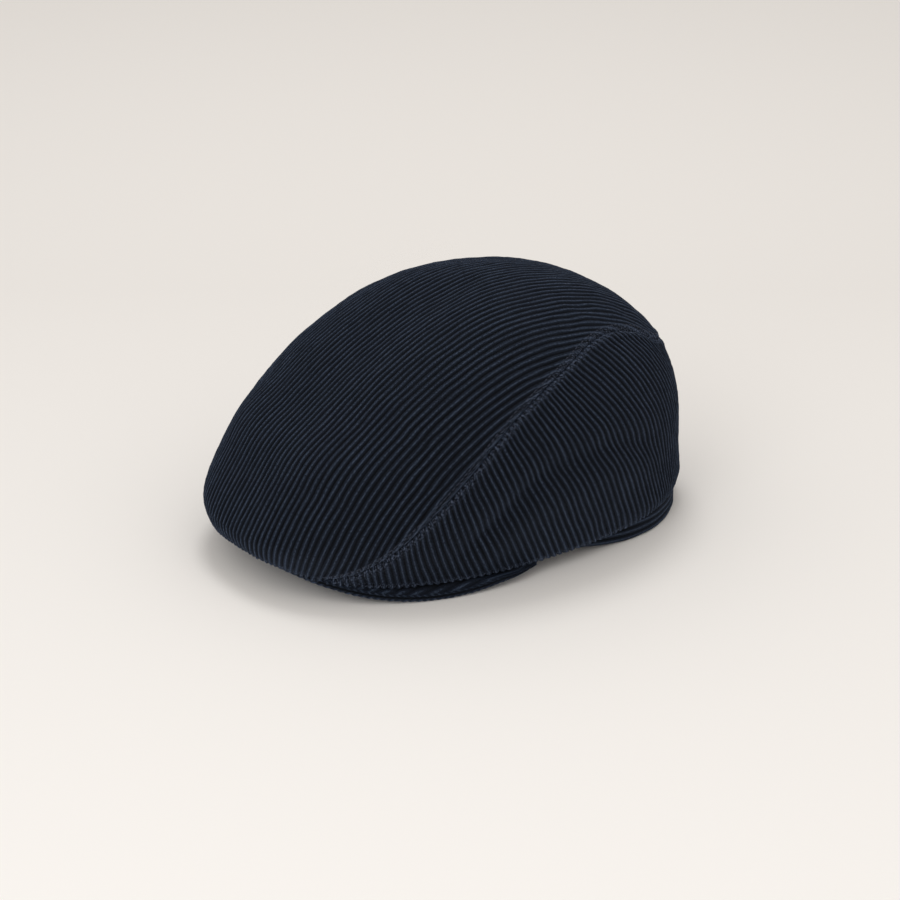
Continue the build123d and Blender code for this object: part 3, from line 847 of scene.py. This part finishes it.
def peak_layer(low, high, rim_rows, flat_rows, seed, relief_side, flat_depth=1.0, dip=0.0, inset=0.0,
               pocket=0.0, relief=1.0):
    """A closed layer of the peak between two heights above its underside, with a rounded rim.

    relief_side is -1 for wales on the underside and +1 for wales on top, and both go round the rim.
    dip sinks that side away from the rim, and pocket is the thickness left there to hold the board.
    """
    radius = (high - low) / 2
    x, rim, inner, out = peak_columns(radius + inset)
    up = unit(np.stack([2 * PEAK_ARCH * x, np.full_like(x, -PEAK_SLOPE), np.ones_like(x)], -1))
    share = np.linspace(0, 1, flat_rows + 1)[None] ** 1.5
    y = rim[:, None] + (inner - rim)[:, None] * share
    rows, notes = [], []

    # painted_light takes the third cloth value down towards 0, the groove colour: painted shade where the
    # peak lies under the crown
    def add(py, height, direction, length, detail, push=0.0, across=0.0, depth=1.0, painted_light=1.0):
        spot = np.stack([x, py, peak_under(x, py) + height], -1)
        pile, rib = peak_relief(x + across, length, seed)
        rows.append(spot + direction * (push + pile * depth * detail * relief)[..., None])
        notes.append(np.stack([x + across, length, (1 + (rib - 1) * depth) * painted_light], -1))

    first, last = (low, high) if relief_side < 0 else (high, low)
    # on the top cover, painted shade over the flat away from the rim, under the crown
    for k in range(flat_rows, 0, -1):
        inland = inland_of(x, y[:, k]) - inset
        add(y[:, k], first - dip * smooth(1.5, 6.0, inland), up * relief_side, y[:, k], 1.0,
            depth=flat_depth, painted_light=1 - smooth(2.0, 7.0, inland) * (dip > 0))
    rim_run = arc(np.stack([x, rim], -1))
    # painted shade on the half of the rim that turns in towards the other cover, in the gap under the crown's
    # hem
    for angle in np.radians(np.linspace(-90, 90, rim_rows)):
        direction = up * math.sin(-angle * relief_side) + level_way(out) * math.cos(angle)
        around = radius * (angle + math.pi / 2)
        add(rim, (low + high) / 2, unit(direction), rim + out[:, 1] * around,
            1.0 if angle < math.radians(60) else 0.4, radius, rim_run - x + around * LIP_LEAN, LIP_DEPTH,
            1 - smooth(0.1, 0.9, angle))
    for k in range(1, flat_rows + 1):
        hollow = (last - low - pocket) * smooth(2.0, 2.4, inland_of(x, y[:, k])) if pocket else 0.0
        add(y[:, k], last - hollow, up * -relief_side, y[:, k], 0.0)
    return tucked(np.stack(rows, 1)), np.stack(notes, 1)


corduroy_piece("peak_under_cloth", "peak_under_cover", *peak_layer(0.0, 3.4, 17, 34, 51, -1, pocket=1.3))
board, _ = peak_layer(1.5, 3.2, 5, 20, 55, 1, inset=2.6, relief=0.0)
ring_piece("peak_board_shell", board, BOARD, replaces=["peak_board"], slot="board")
corduroy_piece("peak_top_cloth", "peak_top_cover",
               *peak_layer(3.5, PEAK_THICKNESS, 7, 26, 61, 1, flat_depth=0.55, dip=0.8))


# ---- head opening
def oval(angle, inset):
    """Points and outward directions round the head opening."""
    c, s = np.cos(angle), np.sin(angle)
    half, length = OVAL_HALF_WIDTH - inset, OVAL_HALF_LENGTH - inset
    x = half * np.sign(c) * np.abs(c) ** (2 / OVAL_POWER)
    y = length * np.sign(s) * np.abs(s) ** (2 / OVAL_POWER)
    out = unit(np.stack([np.sign(x) * np.abs(x / half) ** (OVAL_POWER - 1) / half,
                         np.sign(y) * np.abs(y / length) ** (OVAL_POWER - 1) / length], -1))
    return x, y + OVAL_CENTRE_Y, out


def pushed(x, y, out):
    """The opening's outline drawn out at the back corners."""
    far = BAND_PUSH * back_corner(x, y)
    return x + out[:, 0] * far, y + out[:, 1] * far


def even_oval(start, end, inset):
    """Angles in radians, from start to end in degrees, of evenly spaced points of the opening."""
    dense = np.radians(np.linspace(start, end, 4000))
    x, y, _ = oval(dense, inset)
    s = arc(np.stack([x, y], -1))
    return np.interp(np.linspace(0, s[-1], int(s[-1] / STRIP_STEP) + 1), s, dense)


def round_noise(length, height, seed):
    """Noise round the opening, the same for all points of a row."""
    return lattice_noise(np.stack([length, 0 * length + height], -1), seed)


def band_low(y):
    """Height of the hem band's lower edge: it comes down to the floor behind the peak."""
    return 9.4 * (1 - smooth(-4, 64, y)) + 0.15


def hem_band():
    """The band of corduroy under the rear of the side panels, with its wales running level."""
    x, y, out = oval(even_oval(-14, 194, 0), 0)
    x, y = pushed(x, y, out)
    out = level_way(out)
    length = STRIP_STEP * np.arange(1, len(x) + 1)
    lower_edge = band_low(y)
    rows, notes = [], []

    def add(height, push):
        wander = 0.25 * round_noise(length / 14, height / 4, 71)
        rib = np.abs(np.sin(math.pi * (height + wander) / PITCH))
        pile = 0.8 * (rib ** RIB_SHAPE - 1) + 0.15 * round_noise(length / 6, math.floor(height / PITCH), 72)
        sag = 0.27 * round_noise(length / 40, 0, 73)
        rows.append(np.stack([x, y, lower_edge + height], -1) + out * (push + pile + sag)[:, None])
        notes.append(np.stack([0 * x + height, length, rib], -1))

    for height in [BAND_HEIGHT, 17, 14, *np.arange(0.6, 12.7, 0.45)[::-1]]:
        add(height, 0.0)
    for turn in np.radians([30, 60, 90]):
        add(0.6 - 0.6 * math.sin(turn), -0.9 + 0.9 * math.cos(turn))
    for height in (0.1, 6, BAND_HEIGHT):
        rows.append(np.stack([x, y, lower_edge + height], -1) - out * BAND_THICKNESS)
        notes.append(np.stack([0 * x + height, length, 0 * x], -1))
    corduroy_piece("hem_band_cloth", "hem_band", np.stack(rows, 1), np.stack(notes, 1))


hem_band()


def strip(name, inset, thickness, low, high, start, end, material, wave, **kwargs):
    """A band of cloth round the head opening, standing between two heights above its edge."""
    closed = end - start >= 360
    angle = even_oval(start, end, inset)
    angle = angle[:-1] if closed else angle
    x, y, out = oval(angle, inset)
    foot = height_on(EDGE, y) + low
    x, y = pushed(x, y, out)
    out = level_way(out)
    length = np.arange(len(x)) * STRIP_STEP
    gather = smooth(86, 96, y) * 0.45 * np.sin(length / 1.25)
    rows = []
    for share in np.linspace(0, 1, 15):
        noise = round_noise(length / 22, share * 3, 81)
        push = 0.3 + wave * ((0.5 + gather) * math.sin(math.pi * share) + 0.35 * noise)
        rows.append(np.stack([x, y, foot + 0.3 + (high - low - 0.3) * share], -1) - out * push[:, None])
    for share in (1.0, 0.6, 0.3, 0.0):
        rows.append(np.stack([x, y, foot + (high - low) * share], -1) + out * (thickness - 0.3))
    rows.append(np.stack([x, y, foot], -1))
    ring_piece(name, np.stack(rows, 1), material, wrap=closed, **kwargs)


strip("sweatband_cloth", 3.7, 0.8, 0.25, 32.0, -90, 270, SWEATBAND, 0.45,
      replaces=["sweatband"], slot="sweatband")
strip("head_tape_cloth", 2.5, 0.5, 1.0, 19.0, -231.5, 51.5, TAPE, 0.0, replaces=["head_tape"], slot="tape")
strip("elastic_cloth", 2.5, 0.5, 1.0, 19.0, 53, 127, ELASTIC, 0.0,
      replaces=["sweatband_elastic"], slot="elastic")


# ---- lining, labels and stitches
INSIDE = Crown(LINING_SKIN, LINING_FRONT_REACH)
UPWARD = np.array([0.0, 0.0, 1.0])


def stitch_row(name, line, normals, length=2.3, gap=0.9, radius=0.22):
    """One row of machine stitches lying on the cloth, as short rounded threads."""
    at = arc(line)
    points, faces = [], []
    sides = 6
    for start in np.arange(int(at[-1] / (length + gap))) * (length + gap):
        ends = along(line, at, np.array([start, start + length]))
        up = unit(along(normals, at, start + length / 2))
        across = np.cross(up, unit(ends[1] - ends[0]))
        base = len(points)
        for share, size in ((0.0, 0.35), (0.12, 0.85), (0.5, 1.0), (0.88, 0.85), (1.0, 0.35)):
            middle = ends[0] + (ends[1] - ends[0]) * share - up * (0.35 * (2 * share - 1) ** 2)
            for turn in np.arange(sides) * 2 * math.pi / sides:
                points.append(middle + radius * size * (across * math.cos(turn) + up * math.sin(turn)))
        for ring in range(base, base + 4 * sides, sides):
            for k in range(sides):
                a, b = ring + k, ring + (k + 1) % sides
                faces.append([a, b, b + sides, a + sides])
        faces.append([base + k for k in range(sides)])
        faces.append([base + 4 * sides + k for k in range(sides)][::-1])
    mesh_piece(name, points, faces, THREAD)


def patch(name, size, corner, centre, thickness, material, **kwargs):
    """A stitched patch with rounded corners, against the lining under the top of the crown."""
    around = []
    for sx, sy, turn in ((1, 1, 0), (-1, 1, 90), (-1, -1, 180), (1, -1, 270)):
        for a in np.radians(turn + np.linspace(0, 90, 9)):
            around.append((sx * (size[0] / 2 - corner) + corner * math.cos(a),
                           sy * (size[1] / 2 - corner) + corner * math.sin(a)))
    around = np.array(around)
    outline = resampled(np.concatenate([around, around[:1]]), 1.6)[:-1]

    def under_crown(share):
        below = np.concatenate([outline * share + centre, np.full((len(outline), 1), 100.0)], 1)
        p = INSIDE.cast(below, np.tile(UPWARD, (len(below), 1)))
        return p, INSIDE.normal(p)

    face = [(share, thickness) for share in np.linspace(0.04, 0.985, 14)]
    rim = [(1.0, thickness * 0.6), (1.0, 0.0)]
    back = [(share, 0.0) for share in np.linspace(0.9, 0.04, 6)]
    rings = []
    for share, depth in face + rim + back:
        p, n = under_crown(share)
        rings.append(p - n * depth)
    p, n = (np.concatenate([v, v[:1]]) for v in under_crown(0.93))
    stitch_row(name + "_stitches", p - n * (thickness + 0.05), -n)
    ring_piece(name, np.stack(rings), material, **kwargs)


def seam_tape(name, line, width=7.0, thickness=0.45):
    """A narrow tape that covers a seam of the lining."""
    n = INSIDE.normal(line)
    side_way = np.cross(n, unit(np.gradient(line, axis=0)))
    rows = []
    for across, depth in ((-0.5, 0.0), (-0.5, 0.8), (-0.3, 1.0), (0.0, 1.15),
                          (0.3, 1.0), (0.5, 0.8), (0.5, 0.0), (0.0, -0.3)):
        rows.append(INSIDE.snap(line + side_way * across * width) - n * depth * thickness)
    ring_piece(name, np.stack(rows, 1), TAPE)


for node, material in (("size_label", LABEL), ("care_label", LABEL), ("top_lining", LINING),
                       ("left_side_lining", LINING), ("right_side_lining", LINING)):
    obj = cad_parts[node]
    obj.data.materials.clear()
    obj.data.materials.append(material)

# a row of stitches on the top panel, beside the seam
seam_run = SEAM_3D[SEAM_3D[:, 2] > 9]
beside = np.cross(OUTSIDE.normal(seam_run), unit(np.gradient(seam_run, axis=0)))
beside = beside * np.sign(beside[:, 2:3] + 1e-9)
row = OUTSIDE.snap(seam_run + beside * STITCH_SETBACK)
over = OUTSIDE.normal(row)
row = row + over * (folds(row) + 0.45)[:, None]
for name, flip in SIDES:
    stitch_row(name + "_seam_topstitch", row * flip, over * flip)

patch("maker_patch_cloth", (58.0, 38.0), 6.0, AXIS, 0.5, LABEL, replaces=["maker_patch"], slot="label")

# tapes over the lining's seams, down to the sweatband
inner_seam = seam_line(INSIDE)
inner_seam = resampled(inner_seam[inner_seam[:, 2] > height_on(EDGE, inner_seam[:, 1]) + 27], 3.0)
for name, flip in SIDES:
    seam_tape(name + "_lining_seam_tape", inner_seam * flip)
inner_back = back_line(INSIDE)
seam_tape("back_lining_seam_tape", resampled(inner_back[inner_back[:, 2] > 24], 3.0))

# ---- stage, light and camera
FLOOR_RADIUS = 14.0          # metres
floor_mesh = bpy.data.meshes.new("floor")
bearings = np.linspace(0, 2 * math.pi, 65)[:-1]
rim = [(FLOOR_RADIUS * math.cos(a), FLOOR_RADIUS * math.sin(a), 0.0) for a in bearings]
floor_mesh.from_pydata(rim, [], [list(range(len(rim)))])
floor = bpy.data.objects.new("floor", floor_mesh)
bpy.context.collection.objects.link(floor)

# pale, with painted light that makes it lighter towards the front, and white far out; clear from below and
# for shadow rays
s = Shader("pale_floor")
place = s.node("TexCoord").outputs["Object"]
towards = s.node("VectorMath", {"operation": "DOT_PRODUCT"}, i0=place, i1=(0.82, -0.57, 0.0)).outputs["Value"]
pale = s.mix(s.spread(towards, -0.35, 0.5), (0.76, 0.74, 0.715, 1.0), (0.94, 0.925, 0.905, 1.0))
away = s.node("VectorMath", {"operation": "LENGTH"}, i0=place).outputs["Value"]
s.finish(s.mix(s.spread(away, 3.0, 9.0), pale, (1.0, 1.0, 1.0, 1.0)), rough=0.95, specular=0.1)
below = s.node("NewGeometry").outputs["Backfacing"]
seen = s.math("MAXIMUM", below, s.node("LightPath").outputs["Is Shadow Ray"])
clear = s.node("BsdfTransparent").outputs[0]
mixed = s.node("MixShader", i0=seen, i1=s.bsdf.outputs[0], i2=clear).outputs[0]
s.tree.links.new(mixed, s.tree.nodes["Material Output"].inputs["Surface"])
floor_mesh.materials.append(s.material)

world = bpy.data.worlds.new("studio")
bpy.context.scene.world = world
world.use_nodes = True
background = world.node_tree.nodes["Background"]
background.inputs["Color"].default_value = (1.0, 0.965, 0.93, 1.0)
background.inputs["Strength"].default_value = 0.80


def area_light(name, place, aim, size, power):
    """A soft round light that the camera doesn't see."""
    data = bpy.data.lights.new(name, "AREA")
    data.shape, data.size, data.energy = "DISK", size, power
    obj = bpy.data.objects.new(name, data)
    bpy.context.collection.objects.link(obj)
    obj.location = place
    obj.rotation_mode = "QUATERNION"
    obj.rotation_quaternion = (Vector(aim) - Vector(place)).to_track_quat("-Z", "Y")
    obj.visible_camera = False


area_light("overhead", (-0.5, 0.3, 1.5), (0, 0, 0.05), 0.6, 5.5)
area_light("from_below", (0.1, -0.2, -1.3), (0, 0, 0.1), 1.0, 9)
area_light("front", (0.9, -1.7, 1.2), (0.2, -0.2, 0.0), 1.2, 7)

bpy.context.scene.view_settings.view_transform = "Standard"

# the photograph's camera
AZIMUTH, ELEVATION = math.radians(55.17), math.radians(24.01)
DISTANCE = 1.3666
TARGET = Vector((-0.00384, 0.00749, 0.03363))
level = math.cos(ELEVATION)
back = Vector((math.sin(AZIMUTH) * level, -math.cos(AZIMUTH) * level, math.sin(ELEVATION)))
camera = bpy.data.objects.new("camera", bpy.data.cameras.new("camera"))
bpy.context.collection.objects.link(camera)
camera.data.lens, camera.data.sensor_width = 100.0, 36.0
camera.location = TARGET + back * DISTANCE
camera.rotation_mode = "QUATERNION"
camera.rotation_quaternion = (-back).to_track_quat("-Z", "Y")
bpy.context.scene.camera = camera
